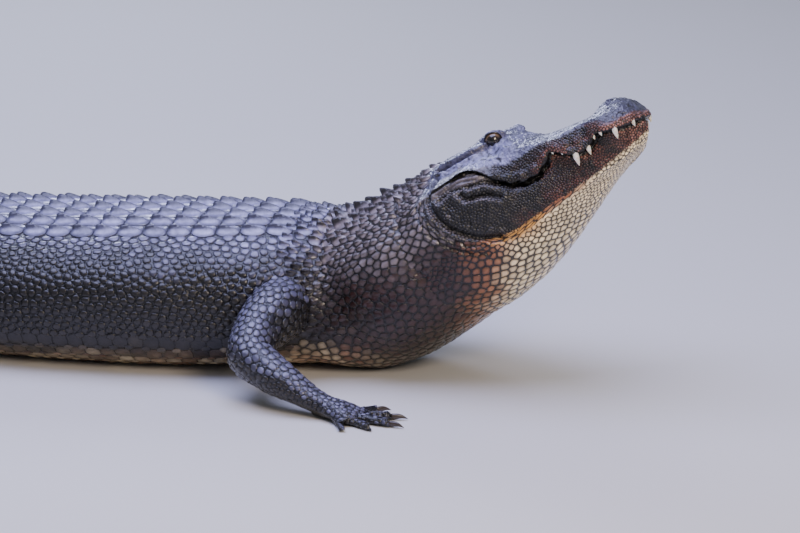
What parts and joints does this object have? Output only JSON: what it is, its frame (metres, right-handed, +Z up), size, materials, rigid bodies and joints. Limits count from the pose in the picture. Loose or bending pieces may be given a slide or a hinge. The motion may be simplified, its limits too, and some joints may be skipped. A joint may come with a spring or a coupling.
{
  "type": "american alligator, still life-size model",
  "caption": "Life-size American alligator lying on its belly, head raised on a sharply bent neck, throat swollen to bellow.",
  "frame": {"origin": "on the flat of the belly half way along the trunk, at the level of the floor", "axes": "+X towards the snout along the straight trunk, +Y to the animal's left, +Z up"},
  "size_m": [3.2958, 1.1986, 0.5737],
  "materials": {
    "wet_hide": "wet, dark grey scaly hide with a blue sheen, cream to tan under the throat and belly",
    "eye": "glossy, dark brown iris with an upright slit"
  },
  "bodies": {
    "root": {"torso": "wet_hide", "neck": "wet_hide", "tail_1": "wet_hide", "tail_2": "wet_hide", "tail_3": "wet_hide", "tail_4": "wet_hide", "skull": "wet_hide", "lower_jaw": "wet_hide", "eye_left": "eye", "eye_right": "eye", "ear_left": "wet_hide", "ear_right": "wet_hide", "fore_leg_left": "wet_hide", "fore_leg_right": "wet_hide", "fore_foot_left": "wet_hide", "fore_foot_right": "wet_hide", "hind_leg_left": "wet_hide", "hind_leg_right": "wet_hide", "hind_foot_left": "wet_hide", "hind_foot_right": "wet_hide"}
  },
  "joints": []
}
